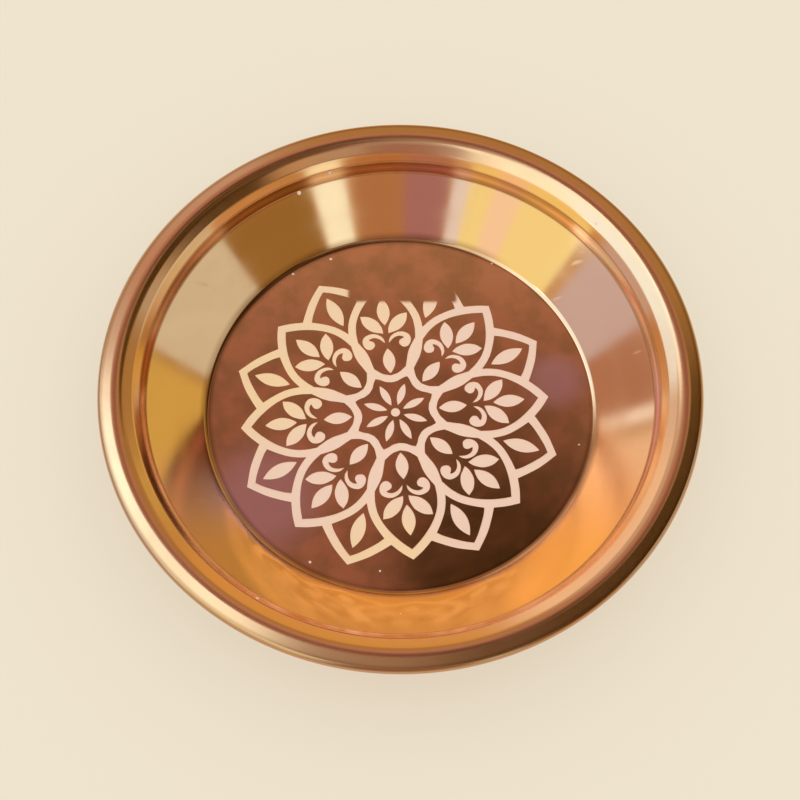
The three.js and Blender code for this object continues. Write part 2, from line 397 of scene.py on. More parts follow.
def through(points, steps=CURVE_STEPS):
    """A Catmull-Rom curve through the points, without its last one.

    Between points a and b the curve is the cubic with slopes half the way from the point
    before a to b, and from a to the point after b.
    """
    p = np.asarray(points, float)
    a, b = p[:-1], p[1:]
    before, after = np.concatenate([p[:1], p[:-2]]), np.concatenate([p[2:], p[-1:]])
    t = (np.arange(steps) / steps)[None, :, None]
    a, b, u, v = a[:, None], b[:, None], (b - before)[:, None] / 2, (after - a)[:, None] / 2
    curve = (2 * a - 2 * b + u + v) * t**3 + (3 * b - 3 * a - 2 * u - v) * t**2 + u * t + a
    return curve.reshape(-1, 2)


def along(curves):
    """Several curves one after another, without the last one's last point."""
    return np.concatenate([through(curve) for curve in curves])


def to_axis(curves):
    """One side of an outline, with its last point."""
    return np.concatenate([along(curves), [curves[-1][-1]]])


def mirrored(curves):
    """A closed outline from one side and its mirror image across the axis."""
    side = to_axis(curves)
    return np.concatenate([side, side[1:-1][::-1] * (-1, 1)])


def flipped(points):
    """The mirror image across the axis, run the other way."""
    return points[::-1] * (-1, 1)


def turned(points, pitches):
    """Points turned clockwise by so many pitches of the petals."""
    angle = -pitches * 2 * HALF_PITCH
    cos, sin = math.cos(angle), math.sin(angle)
    return points @ np.array([[cos, sin], [-sin, cos]])


def ring(curves):
    """An outline round all petals, from one petal's half outline."""
    side = to_axis(curves)
    pair = np.concatenate([flipped(side)[:-1], side[:-1]])
    return np.concatenate([turned(pair, k) for k in range(PETALS)])


def leaf(measures):
    """A leaf: half width 4 bow t (1 - t) at the share t of the way from foot to tip."""
    foot, tip, bow = measures
    t = np.linspace(0, 1, LEAF_STEPS + 1)
    side = np.stack([4 * bow * t * (1 - t), foot + (tip - foot) * t], 1)
    return np.concatenate([side, side[1:-1][::-1] * (-1, 1)])


def ornament_outlines(sizes):
    """Every closed outline of the ornament, in metres on the floor."""
    drawn = [ring(BORDER), ring(ROSETTE)]
    side_leaf, scroll = along(SIDE_LEAF), along(SCROLL)
    for k in range(PETALS):
        drawn += [turned(mirrored(PETAL), k), turned(mirrored(OUTER_PETAL), k + 0.5)]
        for outline in (side_leaf, flipped(side_leaf), scroll, flipped(scroll),
                        leaf(CENTRE_LEAF), leaf(INNER_LEAF)):
            drawn.append(turned(outline, k))
        drawn += [turned(leaf(OUTER_LEAF), k + 0.5), turned(leaf(ROSETTE_LEAF), k + 0.5)]
    scale = (places(sizes)["flat"] - sizes.ornament_margin) / TIP_REACH
    cos, sin = math.cos(sizes.ornament_turn), math.sin(sizes.ornament_turn)
    turn = np.array([[cos, sin], [-sin, cos]])
    middle = np.array(sizes.ornament_shift)
    dot = sizes.dot_radius * circle(DOT_STEPS) + middle
    return [outline * scale @ turn + middle for outline in drawn] + [dot]


def counter_clockwise(points):
    """The outline's points, turned round if they run clockwise."""
    x, y = points.T
    area = (x * np.roll(y, -1) - np.roll(x, -1) * y).sum()
    return points if area > 0 else points[::-1]


def worn(x, y):
    """1 where the etch is worn, 0 elsewhere, with a soft edge."""
    across = (WORN_HALF_WIDTH - np.abs(x - WORN_MIDDLE_X)) / WORN_EDGE + 0.5
    up = (y - WORN_LOW_Y) / WORN_EDGE + 0.5
    across, up = np.clip(across, 0, 1), np.clip(up, 0, 1)
    return across * across * (3 - 2 * across) * up * up * (3 - 2 * up)


def edge_first(points, triangles, flat):
    """Points and triangles renumbered: points 0 to TURN_STEPS - 1 go round the edge."""
    x, y = points.T
    step = np.round(np.arctan2(y, x) * TURN_STEPS / (2 * math.pi)) % TURN_STEPS
    on_edge = np.hypot(x, y) > flat - FLOOR_RINGS[0][0] / 2
    order = np.argsort(np.where(on_edge, step, TURN_STEPS), kind="stable")
    return points[order], np.argsort(order)[triangles]


def facing_up(points, triangles):
    """The triangles, each turned round if it runs clockwise."""
    a, b, c = points[triangles].transpose(1, 2, 0)
    area = (b - a)[0] * (c - a)[1] - (b - a)[1] * (c - a)[0]
    return np.where(area[:, None] < 0, triangles[:, ::-1], triangles)


def floor_net(sizes):
    """A net over the flat floor that keeps every outline: its points, plain and etched triangles.

    It is a Delaunay triangulation, worked out in millimetres. A triangle is etched where an odd
    number of the ornament's outlines goes round it. Points 0 to TURN_STEPS - 1 are the edge.
    """
    flat = places(sizes)["flat"]
    edge = flat * circle(TURN_STEPS)
    loops = [edge] + [counter_clockwise(outline) for outline in ornament_outlines(sizes)]
    rings = [(flat - inside) * edge[::every] / flat for inside, every in FLOOR_RINGS]
    ends = np.cumsum([len(loop) for loop in loops])
    faces = [list(range(end - len(loop), end)) for loop, end in zip(loops, ends)]
    given = [Vector(point) for point in np.concatenate(loops + rings) / MM]
    made = delaunay_2d_cdt(given, [], faces, 1, SAME_PLACE, True)
    points, triangles, around = np.array([tuple(point) for point in made[0]]) * MM, made[2], made[5]
    # The edge's own loop goes round every triangle too
    etched = np.array([len(loops_around) % 2 == 0 for loops_around in around])
    points, triangles = edge_first(points, np.array(triangles), flat)
    triangles = facing_up(points, triangles)
    return points, triangles[~etched], triangles[etched]


def etch_steps(points, plain, cut):
    """Upright quads, with their normals, on each edge that a plain and an etched triangle share.

    A quad joins two points to the same points let in, which are numbered after all the points.
    """
    n = len(points)

    def edges(triangles):
        return np.concatenate([triangles[:, [0, 1]], triangles[:, [1, 2]], triangles[:, [2, 0]]])

    plain_edges, cut_edges = edges(plain), edges(cut)[:, ::-1]
    shared = np.isin(plain_edges @ (n, 1), cut_edges @ (n, 1))
    start, end = plain_edges[shared].T
    run = points[end] - points[start]
    out = np.column_stack([run[:, 1], -run[:, 0], np.zeros(len(run))])
    out /= np.linalg.norm(out, axis=1, keepdims=True)
    return np.stack([start, start + n, end + n, end], 1), np.repeat(out[:, None], 4, 1)


def floor_mesh(sizes):
    """The flat floor: a disc cut along the ornament's outlines, its etched faces let in.

    An etched face lies lower by the etch depth times (1 - worn), and a step joins it to the plain
    floor. Vertices 0 to TURN_STEPS - 1 are the edge.
    """
    points, plain, cut = floor_net(sizes)
    n = len(points)
    depth = sizes.etch_depth * (1 - (1 - WORN_DEPTH) * worn(*points.T))
    vertices = np.concatenate([
        np.column_stack([points, np.full(n, sizes.sheet)]),
        np.column_stack([points, sizes.sheet - depth]),
    ])
    return vertices, plain, cut + n, *etch_steps(points, plain, cut)


# Meshes


def make_mesh(name, vertices, groups, materials):
    """A mesh from groups of faces. A group is (faces, corner normals, material number)."""
    used = np.unique(np.concatenate([faces.ravel() for faces, _, _ in groups]))
    renumber = np.full(len(vertices), -1)
    renumber[used] = np.arange(len(used))
    corners = np.concatenate([renumber[faces].ravel() for faces, _, _ in groups])
    counts = np.concatenate([np.full(len(faces), faces.shape[1]) for faces, _, _ in groups])
    numbers = np.concatenate([np.full(len(faces), number) for faces, _, number in groups])
    normals = np.concatenate([np.broadcast_to(normal, (*faces.shape, 3)).reshape(-1, 3)
                              for faces, normal, _ in groups])
    mesh = bpy.data.meshes.new(name)
    mesh.vertices.add(len(used))
    mesh.vertices.foreach_set("co", vertices[used].astype(np.float32).ravel())
    mesh.loops.add(len(corners))
    mesh.loops.foreach_set("vertex_index", corners.astype(np.int32))
    mesh.polygons.add(len(counts))
    mesh.polygons.foreach_set("loop_start", (np.cumsum(counts) - counts).astype(np.int32))
    mesh.polygons.foreach_set("material_index", numbers.astype(np.int32))
    mesh.update(calc_edges=True)
    if mesh.validate():
        raise RuntimeError(f"{name}: the mesh had faces that don't fit together")
    mesh.normals_split_custom_set(normals.tolist())
    for material in materials:
        mesh.materials.append(material)
    piece = bpy.data.objects.new(name, mesh)
    bpy.context.scene.collection.objects.link(piece)
    return piece


def dish_mesh(sizes, materials):
    """The whole sheet as one closed surface: the floor, the turned section and the centre below."""
    vertices, plain, cut, steps, step_normals = floor_mesh(sizes)
    first = len(vertices)
    shown, below = sheet_runs(sizes)
    turned_points, quads, quad_normals = lathe(shown + below, first)
    quads = np.where(quads < first + TURN_STEPS, quads - first, quads)
    split = sum(len(run[0]) - 1 for run in shown) * TURN_STEPS
    centre = first + len(turned_points)
    last = centre - TURN_STEPS + np.arange(TURN_STEPS)
    fan = np.stack([last, np.full(TURN_STEPS, centre), np.roll(last, -1)], 1)
    vertices = np.concatenate([vertices, turned_points, [[0, 0, 0]]])
    groups = [
        (plain, UP, 0),
        (cut, UP, 1),
        (steps, step_normals, 1),
        (quads[:split], quad_normals[:split], 0),
        (quads[split:], quad_normals[split:], 2),
        (fan, -UP, 2),
    ]
    return make_mesh("dish_sheet", vertices, groups, materials)


def wire_mesh(sizes, material):
    """The wire: a circle of the wire's radius carried round the rim."""
    away = circle(WIRE_STEPS)
    away = np.concatenate([away, away[:1]])[::-1]
    section = places(sizes)["curl_middle"] + sizes.wire_diameter / 2 * away
    vertices, quads, normals = lathe([(section, away)], 0)
    closing = WIRE_STEPS * TURN_STEPS
    quads = np.where(quads >= closing, quads - closing, quads)
    return make_mesh("rim_wire_round", vertices, [(quads, normals, 0)], [material])


# Shader groups


class Tree:
    """Short words for making nodes in a node tree. In a material, where is the place that is shaded."""

    def __init__(self, tree):
        self.tree = tree
        self.where = None

    def add(self, kind, values=None, **settings):
        node = self.tree.nodes.new(kind)
        for key, value in settings.items():
            setattr(node, key, value)
        for key, value in (values or {}).items():
            self.put(node.inputs[key], value)
        return node

    def put(self, socket, value):
        if isinstance(value, bpy.types.NodeSocket):
            self.tree.links.new(value, socket)
        else:
            socket.default_value = value

    def math(self, operation, *values):
        node = self.add("ShaderNodeMath", operation=operation)
        for socket, value in zip(node.inputs, values):
            self.put(socket, value)
        return node.outputs[0]

    def times(self, a, b):
        return self.math("MULTIPLY", a, b)

    def plus(self, a, b):
        return self.math("ADD", a, b)

    def minus(self, a, b):
        return self.math("SUBTRACT", a, b)

    def ramp(self, value, low, high, to_low=0.0, to_high=1.0, smooth=True):
        kind = "SMOOTHSTEP" if smooth else "LINEAR"
        node = self.add("ShaderNodeMapRange", interpolation_type=kind)
        for socket, v in zip(node.inputs, (value, low, high, to_low, to_high)):
            self.put(socket, v)
        return node.outputs[0]

    def mix(self, factor, a, b):
        node = self.add("ShaderNodeMix", data_type="RGBA")
        self.put(node.inputs[0], factor)
        self.put(node.inputs[6], a if isinstance(a, bpy.types.NodeSocket) else (*a, 1.0))
        self.put(node.inputs[7], b if isinstance(b, bpy.types.NodeSocket) else (*b, 1.0))
        return node.outputs[2]

    def group(self, tree, **values):
        node = self.tree.nodes.new("ShaderNodeGroup")
        node.node_tree = tree
        for key, value in values.items():
            self.put(node.inputs[key.replace("_", " ")], value)
        return node.outputs

    def layer(self, name, **values):
        """One of the finish's shader groups, at the place that is shaded."""
        return self.group(shader_groups()[name], Vector=self.where, **values)


def new_group(name, inputs, outputs):
    """An empty shader group, its words, its inputs and its outputs.

    Inputs are given as names with defaults, None for a vector, and outputs as names.
    """
    tree = bpy.data.node_groups.new(name, "ShaderNodeTree")
    for label, default in inputs.items():
        kind = "NodeSocketVector" if default is None else "NodeSocketFloat"
        socket = tree.interface.new_socket(label, in_out="INPUT", socket_type=kind)
        if default is not None:
            socket.default_value = default
    for label in outputs:
        tree.interface.new_socket(label, in_out="OUTPUT", socket_type="NodeSocketFloat")
    words = Tree(tree)
    return tree, words, words.add("NodeGroupInput").outputs, words.add("NodeGroupOutput").inputs


def axis_distance(t, vector):
    """The distance of a point from the plate's axis."""
    flat = t.add("ShaderNodeVectorMath", {0: vector, 1: (1, 1, 0)}, operation="MULTIPLY")
    return t.add("ShaderNodeVectorMath", {0: flat.outputs[0]}, operation="LENGTH").outputs[1]


def spin_group():
    """Lathe marks: noise along the radius alone, fine and coarse, so it runs in rings."""
    tree, t, given, out = new_group(
        "Spin marks",
        {"Vector": None, "Fineness": 2600.0, "Waviness": 180.0},
        ["Height", "Band"],
    )
    radius = axis_distance(t, given["Vector"])
    fine = t.add("ShaderNodeTexNoise", {"W": t.times(radius, given["Fineness"]),
                                        "Scale": 1.0, "Detail": 3.0}, noise_dimensions="1D")
    broad = t.add("ShaderNodeTexNoise", {"W": t.times(radius, given["Waviness"]),
                                         "Scale": 1.0, "Detail": 2.0}, noise_dimensions="1D")
    t.put(out["Height"], fine.outputs[0])
    t.put(out["Band"], broad.outputs[0])
    return tree


def scratch_group():
    """Hairlines: noise drawn out along three directions, kept only where it peaks."""
    tree, t, given, out = new_group(
        "Hairline scratches",
        {"Vector": None, "Scale": 60.0, "Amount": 0.5},
        ["Mask"],
    )
    low = t.ramp(given["Amount"], 0.0, 1.0, 0.78, 0.66, smooth=False)
    high = t.plus(low, 0.05)
    mask = None
    for turn, offset in ((0.35, 0.0), (1.25, 3.7), (2.4, 7.1)):
        stretch = t.add("ShaderNodeMapping", {"Vector": given["Vector"], "Location": (offset, 0, 0),
                                              "Rotation": (0, 0, turn), "Scale": (0.05, 1.6, 1.0)})
        noise = t.add("ShaderNodeTexNoise", {"Vector": stretch.outputs[0], "Scale": given["Scale"],
                                             "Detail": 2.0, "Roughness": 0.6})
        line = t.ramp(noise.outputs[0], low, high)
        mask = line if mask is None else t.math("MAXIMUM", mask, line)
    t.put(out["Mask"], mask)
    return tree


def dust_group():
    """Specks: a spot round each cell's point, its size and presence by the cell's own number."""
    tree, t, given, out = new_group(
        "Dust specks",
        {"Vector": None, "Scale": 120.0, "Size": 0.12, "Amount": 0.2},
        ["Mask"],
    )
    cells = t.add("ShaderNodeTexVoronoi", {"Vector": given["Vector"], "Scale": given["Scale"]})
    parts = t.add("ShaderNodeSeparateColor", {0: cells.outputs["Color"]}).outputs
    reach = t.times(given["Size"], t.plus(0.3, parts[0]))
    spot = t.ramp(cells.outputs["Distance"], t.times(reach, 0.5), reach, 1.0, 0.0)
    there = t.math("LESS_THAN", parts[1], given["Amount"])
    t.put(out["Mask"], t.times(spot, there))
    return tree


def tarnish_group():
    """Clouds of tarnish: noise over two scales, cut to a soft edge."""
    tree, t, given, out = new_group(
        "Tarnish clouds",
        {"Vector": None, "Scale": 18.0, "Amount": 0.5},
        ["Mask", "Grain"],
    )
    broad = t.add("ShaderNodeTexNoise", {"Vector": given["Vector"], "Scale": given["Scale"],
                                         "Detail": 5.0, "Roughness": 0.6, "Distortion": 0.6})
    grain = t.add("ShaderNodeTexNoise", {"Vector": given["Vector"], "Detail": 3.0, "Scale":
                                         t.times(given["Scale"], 22.0)})
    middle = t.ramp(given["Amount"], 0.0, 1.0, 0.75, 0.25, smooth=False)
    mask = t.ramp(broad.outputs[0], t.minus(middle, 0.14), t.plus(middle, 0.14))
    t.put(out["Mask"], mask)
    t.put(out["Grain"], grain.outputs[0])
    return tree


def rim_group():
    """1 on the rim, and 1 on its outer flank, by the distance from the plate's axis."""
    tree, t, given, out = new_group(
        "Rim",
        {"Vector": None, "Inner": 0.088, "Outer": 0.1},
        ["Rim", "Flank"],
    )
    radius = axis_distance(t, given["Vector"])
    inner, outer = given["Inner"], given["Outer"]
    flank_start, flank_full = t.minus(outer, 2.5 * MM), t.minus(outer, 1 * MM)
    t.put(out["Rim"], t.ramp(radius, inner, t.plus(inner, 1.2 * MM)))
    t.put(out["Flank"], t.ramp(radius, flank_start, flank_full))
    return tree


def crease_group():
    """1 on a ring at a distance from the plate's axis, fading off over its half width, in patches."""
    tree, t, given, out = new_group(
        "Crease",
        {"Vector": None, "Radius": 0.067, "Half width": 0.001},
        ["Mask"],
    )
    off = t.math("ABSOLUTE", t.minus(axis_distance(t, given["Vector"]), given["Radius"]))
    full_within = t.times(given["Half width"], 0.2)
    near = t.ramp(off, full_within, given["Half width"], 1.0, 0.0)
    noise = t.add("ShaderNodeTexNoise", {"Vector": given["Vector"], "Scale": 40.0, "Detail": 3.0})
    t.put(out["Mask"], t.times(near, t.ramp(noise.outputs[0], 0.3, 0.7, 0.6, 1.0)))
    return tree


def painted_wall_reflection_group():
    """Where orange reflection is painted: 1 on the wall towards -Y, fading off round the plate and towards
    the floor and the rim.
    """
    tree, t, given, out = new_group("Satin", {"Vector": None, "Inner": 0.067, "Outer": 0.086}, ["Mask"])
    radius = axis_distance(t, given["Vector"])
    y = t.add("ShaderNodeSeparateXYZ", {0: given["Vector"]}).outputs[1]
    near_side = t.ramp(t.math("DIVIDE", y, radius), -0.75, -0.2, 1.0, 0.0)
    over = t.ramp(radius, given["Inner"], t.plus(given["Inner"], 3 * MM))
    top = t.plus(given["Outer"], 1 * MM)
    under = t.ramp(radius, top, t.plus(top, 1 * MM), 1.0, 0.0)
    t.put(out["Mask"], t.times(near_side, t.times(over, under)))
    return tree


def spot_group():
    """1 at a point, fading off to 0 at a radius round it."""
    tree, t, given, out = new_group("Spot", {"Vector": None, "Point": None, "Radius": 0.01}, ["Mask"])
    off = t.add("ShaderNodeVectorMath", {0: given["Vector"], 1: given["Point"]}, operation="DISTANCE")
    full_within = t.times(given["Radius"], 0.3)
    t.put(out["Mask"], t.ramp(off.outputs[1], full_within, given["Radius"], 1.0, 0.0))
    return tree


def mottle_group():
    """Mottling of the floor: noise up to a distance from the plate's axis, 0 beyond it."""
    tree, t, given, out = new_group(
        "Mottling",
        {"Vector": None, "Scale": 70.0, "Radius": 0.067},
        ["Mask"],
    )
    noise = t.add("ShaderNodeTexNoise", {"Vector": given["Vector"], "Scale": given["Scale"], "Detail": 4.0})
    radius = axis_distance(t, given["Vector"])
    inside = t.ramp(radius, t.minus(given["Radius"], 1 * MM), given["Radius"], 1.0, 0.0)
    t.put(out["Mask"], t.times(inside, t.ramp(noise.outputs[0], 0.38, 0.62, 0.0, 0.8)))
    return tree


def worn_group():
    """1 in the worn patch of the ornament, by the same measures as the mesh."""
    tree, t, given, out = new_group("Worn patch", {"Vector": None}, ["Mask"])
    x, y, _ = t.add("ShaderNodeSeparateXYZ", {0: given["Vector"]}).outputs
    off = t.math("ABSOLUTE", t.minus(x, WORN_MIDDLE_X))
    across = t.ramp(off, WORN_HALF_WIDTH - WORN_EDGE / 2, WORN_HALF_WIDTH + WORN_EDGE / 2, 1.0, 0.0)
    up = t.ramp(y, WORN_LOW_Y - WORN_EDGE / 2, WORN_LOW_Y + WORN_EDGE / 2)
    t.put(out["Mask"], t.times(across, up))
    return tree


GROUP_MAKERS = {"spin": spin_group, "scratch": scratch_group, "dust": dust_group,
                "tarnish": tarnish_group, "worn": worn_group, "rim": rim_group,
                "crease": crease_group, "painted_wall_reflection": painted_wall_reflection_group, "spot": spot_group,
                "mottle": mottle_group}


def shader_groups():
    """The shader groups by short name, made once."""
    kept = bpy.data.node_groups
    found = {tree["short_name"]: tree for tree in kept if "short_name" in tree}
    for name, maker in GROUP_MAKERS.items():
        if name not in found:
            found[name] = maker()
            found[name]["short_name"] = name
    return found


# Layers of the finish

# Spots on the floor: x, y and radius in millimetres, from the floor's middle
VIOLET_SPOTS = ((-46, -34, 26), (54, 10, 14))
WARM_ETCH_SPOTS = ((-24, 44, 48), (-50, 6, 34), (-6, -54, 26))
# Where the painted shade in the floor's crease is left off, so that the bend shows bright
CREASE_LIT_SPOTS = ((60, 34, 52),)
SPECKS = (
    (-25.8, 59.0, 0.7),
    (-39.4, 52.6, 0.6),
    (-29.6, -56.8, 0.6),
    (-6.4, -59.7, 0.5),
    (33.0, 57.5, 0.4),
    (61.5, -14.0, 0.4),
)

# Shade painted into each crease, by the place that it runs round: its half width and its share
CREASE_SHADE = {"floor": (2.6 * MM, 0.7), "wall_top": (0.6 * MM, 0.6), "rim": (0.6 * MM, 0.5)}

# The band of painted orange reflection on the shoulder: how far outside the rim's foot its middle runs, and
# its half width
SHOULDER_REFLECTION_OUT = 1.1 * MM
SHOULDER_REFLECTION_HALF_WIDTH = 1.8 * MM

# How far outside the rim's foot the sheet turns as rough as the rim
RIM_OUT = 1 * MM

# Dull patches of the wire
WIRE_BLOOM = (0.35, 0.31, 0.28)


def spots(t, places_and_radii, level):
    """The strongest of several spots at a level above the ground."""
    mask = None
    for x, y, radius in places_and_radii:
        one = t.layer("spot", Point=(x * MM, y * MM, level), Radius=radius * MM)["Mask"]
        mask = one if mask is None else t.math("MAXIMUM", mask, one)
    return mask


def crease_shade_mask(t, sizes):
    """Shade painted into the sheet's creases. On one side the floor's crease is left without it, so that
    the bend shows bright there.
    """
    left_lit = spots(t, CREASE_LIT_SPOTS, sizes.sheet)
    mask = 0.0
    for place, (half_width, share) in CREASE_SHADE.items():
        radius = places(sizes)[place]
        crease = t.layer("crease", Radius=radius, Half_width=half_width)["Mask"]
        if place == "floor":
            share = t.minus(share, left_lit)
        mask = t.math("MAXIMUM", mask, t.times(crease, share))
    return mask


def polished_masks(t, sizes):
    """Where each layer lies on the polished copper."""
    place = places(sizes)
    dust = t.layer("dust", Scale=170.0, Size=0.16, Amount=0.03)["Mask"]
    rim = t.layer("rim", Inner=place["rim"] + RIM_OUT, Outer=sizes.rim_radius)
    painted_wall_reflection = t.layer("painted_wall_reflection", Inner=place["floor"], Outer=place["wall_top"])
    # The shoulder band where an orange reflection is painted
    painted_shoulder_reflection = t.layer("crease", Radius=place["rim"] + SHOULDER_REFLECTION_OUT,
                    Half_width=SHOULDER_REFLECTION_HALF_WIDTH)
    return {
        "tarnish": t.layer("tarnish", Scale=22.0, Amount=0.35)["Mask"],
        "mottle": t.layer("mottle", Radius=place["floor"])["Mask"],
        "violet": spots(t, VIOLET_SPOTS, sizes.sheet),
        # The wall's near side, where an orange reflection is painted
        "painted_wall_reflection": painted_wall_reflection["Mask"],
        "rim": rim["Rim"],
        # The rim's outer flank, where a dark reflection is painted
        "flank": rim["Flank"],
        "painted_shoulder_reflection": painted_shoulder_reflection["Mask"],
        # Painted shade along the creases
        "crease_shade": crease_shade_mask(t, sizes),
        "scratch": t.layer("scratch", Scale=70.0, Amount=0.4)["Mask"],
        "speck": t.math("MAXIMUM", dust, spots(t, SPECKS, sizes.sheet)),
    }


def polished_colour(t, masks, finish):
    """Copper under its layers, each mixed over those before it by its mask and share."""
    colour = finish.copper
    for layer, share, layer_colour in (
        ("tarnish", 0.2, finish.tarnish),
        ("mottle", 1.0, finish.olive),
        ("violet", 1.0, finish.violet),
        # Painted orange reflection on the wall's near side
        ("painted_wall_reflection", 1.0, finish.painted_wall_reflection),
        # Painted dark reflection on the rim's outer flank
        ("flank", 0.8, finish.flank),
        # Painted orange reflection on the shoulder
        ("painted_shoulder_reflection", 0.9, finish.painted_shoulder_reflection),
        # Painted shade in the creases
        ("crease_shade", 1.0, finish.crease_shade),
        ("speck", 1.0, finish.dust),
    ):
        colour = t.mix(t.times(masks[layer], share), colour, layer_colour)
    return colour


def polished_roughness(t, masks, spin_band, finish):
    """Roughness of the polish, and what each mask adds to it."""
    rough = finish.polish_roughness
    for mask, more in (
        (masks["tarnish"], 0.05),
        (masks["rim"], finish.rim_roughness - finish.polish_roughness),
        (spin_band, 0.05),
        (masks["scratch"], 0.15),
        (masks["speck"], 0.5),
    ):
        rough = t.plus(rough, t.times(mask, more))
    return rough


# Materials


def new_material(name):
    """A material with a Principled shader, its tree's words and the shader's sockets."""
    material = bpy.data.materials.new(name)
    material.use_nodes = True
    material.node_tree.nodes.clear()
    t = Tree(material.node_tree)
    shader = t.add("ShaderNodeBsdfPrincipled")
    out = t.add("ShaderNodeOutputMaterial")
    t.put(out.inputs["Surface"], shader.outputs[0])
    t.where = t.add("ShaderNodeTexCoord").outputs["Object"]
    return material, t, shader.inputs


def put_bump(t, shader, height, strength, depth):
    """Give the shader a bump from a height of 0 to 1 and its depth."""
    bump = t.add("ShaderNodeBump", {"Height": height, "Strength": strength, "Distance": depth})
    t.put(shader["Normal"], bump.outputs[0])


def polished_material(finish, sizes):
    """Polished copper: its layers of colour, the wall's painted orange reflection, lathe rings, hairlines
    and dust.
    """
    material, t, shader = new_material("Polished copper")
    masks = polished_masks(t, sizes)
    spin = t.layer("spin")
    t.put(shader["Base Color"], polished_colour(t, masks, finish))
    # Not metallic at the specks, and half metallic where the wall's orange reflection is painted
    dull = t.math("MAXIMUM", masks["speck"], t.times(masks["painted_wall_reflection"], 0.5))
    t.put(shader["Metallic"], t.minus(1.0, dull))
    t.put(shader["Roughness"], polished_roughness(t, masks, spin["Band"], finish))
    height = t.plus(spin["Height"], t.times(masks["scratch"], -1.5))
    put_bump(t, shader, height, 0.25, 0.008 * MM)
    return material


def etched_material(finish, sizes):
    """Etched copper: frosted grain, warmer patches, and the worn patch as good as polished."""
    material, t, shader = new_material("Etched copper")
    worn_mask = t.layer("worn")["Mask"]
    clouds = t.layer("tarnish", Scale=16.0, Amount=0.42)
    mottle = t.layer("mottle", Radius=places(sizes)["floor"])["Mask"]
    dust = t.layer("dust", Scale=220.0, Size=0.2, Amount=0.06)["Mask"]
    # Warmer patches of the ornament round listed spots
    near = spots(t, WARM_ETCH_SPOTS, sizes.sheet)
    warm_etch = t.times(near, t.ramp(clouds["Mask"], 0.0, 1.0, 0.7, 1.0))
    colour = t.mix(warm_etch, finish.etched, finish.warm_etch)
    colour = t.mix(t.times(clouds["Grain"], 0.06), colour, finish.tarnish)
    colour = t.mix(worn_mask, colour, t.mix(mottle, finish.copper, finish.olive))
    t.put(shader["Base Color"], t.mix(dust, colour, finish.dust))
    t.put(shader["Metallic"], t.ramp(worn_mask, 0.0, 1.0, 0.04, 1.0))
    t.put(shader["Roughness"], t.ramp(worn_mask, 0.0, 1.0, finish.etch_roughness, 0.1))
    put_bump(t, shader, clouds["Grain"], 0.3, 0.03 * MM)
    return material


def back_material(finish):
    """The sheet's underside: duller copper with clouds of tarnish."""
    material, t, shader = new_material("Copper underside")
    spin = t.layer("spin", Fineness=1800.0)
    scratch = t.layer("scratch", Scale=60.0, Amount=0.8)["Mask"]
    tarnish = t.layer("tarnish", Scale=26.0, Amount=0.55)["Mask"]
    colour = t.mix(t.times(tarnish, 0.6), finish.copper, finish.tarnish)
    t.put(shader["Base Color"], colour)
    t.put(shader["Metallic"], 1.0)
    rough = t.plus(finish.back_roughness, t.times(tarnish, 0.12))
    t.put(shader["Roughness"], t.plus(rough, t.times(scratch, 0.1)))
    height = t.minus(spin["Height"], scratch)
    put_bump(t, shader, height, 0.4, 0.02 * MM)
    return material


def wire_material(finish):
    """Drawn steel: grey, with a dull bloom."""
    material, t, shader = new_material("Steel wire")
    bloom = t.layer("tarnish", Scale=60.0, Amount=0.5)
    t.put(shader["Base Color"], t.mix(t.times(bloom["Mask"], 0.4), finish.steel, WIRE_BLOOM))
    t.put(shader["Metallic"], 1.0)
    t.put(shader["Roughness"], t.ramp(bloom["Grain"], 0.0, 1.0, 0.4, 0.6, smooth=False))
    return material


# The stage

